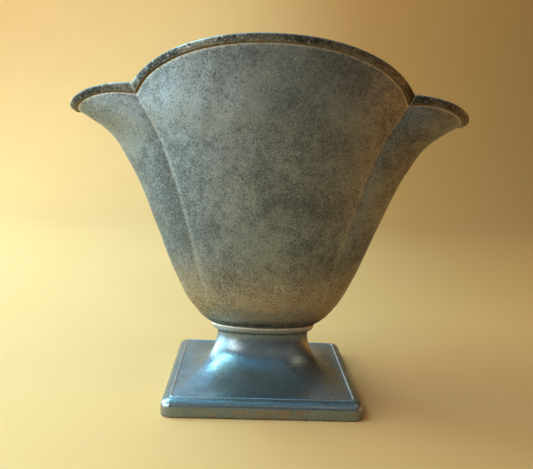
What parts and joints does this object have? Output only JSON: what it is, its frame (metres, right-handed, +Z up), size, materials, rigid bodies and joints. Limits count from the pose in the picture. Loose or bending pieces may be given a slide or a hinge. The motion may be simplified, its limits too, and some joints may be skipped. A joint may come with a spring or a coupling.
{
  "type": "footed fan vase",
  "caption": "Lobed fan-shaped cast pewter vase with a raised rim moulding, on a short oval stem and a hollow rectangular plinth foot; holds cut flowers and stands on a flat surface.",
  "frame": {"origin": "middle of the footprint on the surface that the foot stands on", "axes": "+X along the width towards the right side lobe as seen from the front, +Y to the rear through the thickness, +Z up out of the bowl"},
  "size_m": [0.1932, 0.0836, 0.1717],
  "materials": {
    "bowl_pewter": "aged pewter: mottled green-grey patina with fine dark speckle, satin",
    "rim_pewter": "aged pewter, darker and browner, edges rubbed brighter",
    "foot_pewter": "aged pewter, dark and smoother, with a soft polish"
  },
  "bodies": {
    "root": {"bowl_front_shell": "bowl_pewter", "bowl_rear_shell": "bowl_pewter", "rim_moulding_front": "rim_pewter", "rim_moulding_rear": "rim_pewter", "rim_moulding_left": "rim_pewter", "rim_moulding_right": "rim_pewter", "stem_collar": "bowl_pewter", "foot": "foot_pewter"}
  },
  "joints": []
}
